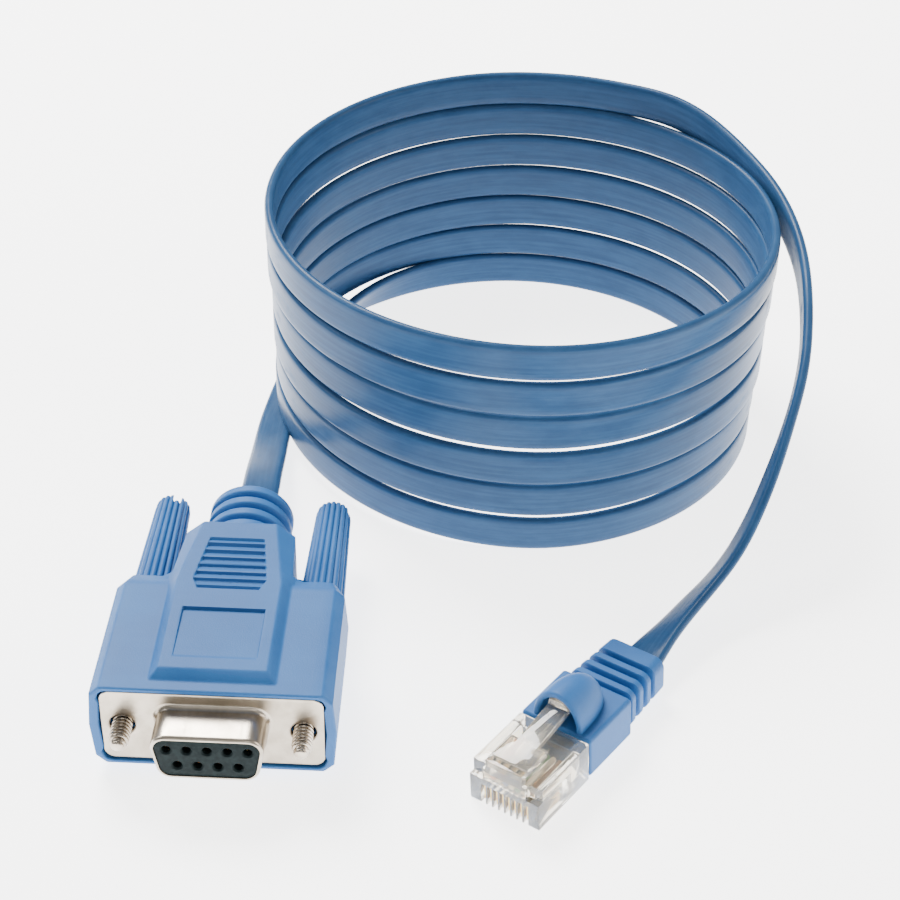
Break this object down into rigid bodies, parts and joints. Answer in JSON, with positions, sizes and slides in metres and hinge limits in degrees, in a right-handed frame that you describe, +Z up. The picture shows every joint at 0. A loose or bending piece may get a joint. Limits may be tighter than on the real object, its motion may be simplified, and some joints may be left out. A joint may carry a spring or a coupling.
{
  "type": "rj45 console cable",
  "caption": "Flat coiled console cable from a hooded D-sub socket with thumbscrews to a booted clear modular plug.",
  "frame": {"origin": "on the floor under the middle of the D connector, measured with its hood and thumbscrews and without the cable", "axes": "+Y from the D connector's mating face towards its cable end, +Z up, +X right as seen facing the mating face's front from -Y"},
  "size_m": [0.1033, 0.1404, 0.0428],
  "materials": {
    "blue_moulding": "satin light blue moulded vinyl",
    "blue_jacket": "smooth mid-blue flat cable jacket, soft sheen",
    "nickel_shell": "bright nickel-plated steel",
    "screw_steel": "bright nickel-plated screw",
    "insulator": "dark slate moulded insulator",
    "contact_gold": "thin gold plating",
    "clear_plug": "clear polycarbonate",
    "wire_white": "pale wire insulation",
    "wire_orange": "orange wire insulation",
    "wire_blue": "blue wire insulation",
    "wire_green": "green wire insulation",
    "wire_brown": "brown wire insulation"
  },
  "bodies": {
    "cable_and_connectors": {"hood": "blue_moulding", "strain_relief": "blue_moulding", "d_shell": "nickel_shell", "insulator": "insulator", "socket_contact_1": "contact_gold", "socket_contact_2": "contact_gold", "socket_contact_3": "contact_gold", "socket_contact_4": "contact_gold", "socket_contact_5": "contact_gold", "socket_contact_6": "contact_gold", "socket_contact_7": "contact_gold", "socket_contact_8": "contact_gold", "socket_contact_9": "contact_gold", "plug_body": "clear_plug", "boot": "blue_moulding", "jacket_end": "blue_jacket", "plug_contact_1": "contact_gold", "plug_contact_2": "contact_gold", "plug_contact_3": "contact_gold", "plug_contact_4": "contact_gold", "plug_contact_5": "contact_gold", "plug_contact_6": "contact_gold", "plug_contact_7": "contact_gold", "plug_contact_8": "contact_gold", "wire_1": "wire_white", "wire_2": "wire_orange", "wire_3": "wire_white", "wire_4": "wire_blue", "wire_5": "wire_white", "wire_6": "wire_green", "wire_7": "wire_white", "wire_8": "wire_brown", "cable_coil": "blue_jacket", "hood_lead": "blue_jacket", "plug_lead": "blue_jacket"},
    "thumbscrew_left": {"thumbscrew_knob_left": "blue_moulding", "jackscrew_left": "screw_steel"},
    "thumbscrew_right": {"thumbscrew_knob_right": "blue_moulding", "jackscrew_right": "screw_steel"},
    "latch": {"latch": "clear_plug"}
  },
  "joints": [
    {"name": "thumbscrew_left_turn", "type": "hinge", "parent": "cable_and_connectors", "child": "thumbscrew_left", "pos_m": [-0.01249, 0, 0.0086], "axis": [0, 1, 0], "continuous": true},
    {"name": "thumbscrew_right_turn", "type": "hinge", "parent": "cable_and_connectors", "child": "thumbscrew_right", "pos_m": [0.01249, 0, 0.0086], "axis": [0, 1, 0], "continuous": true},
    {"name": "latch_press", "type": "hinge", "parent": "cable_and_connectors", "child": "latch", "pos_m": [0.04084, -0.02505, 0.00827], "axis": [-0.8221, 0.565, -0.0698], "range_deg": [0, 6], "stiffness_Nm_per_rad": 0.02}
  ]
}
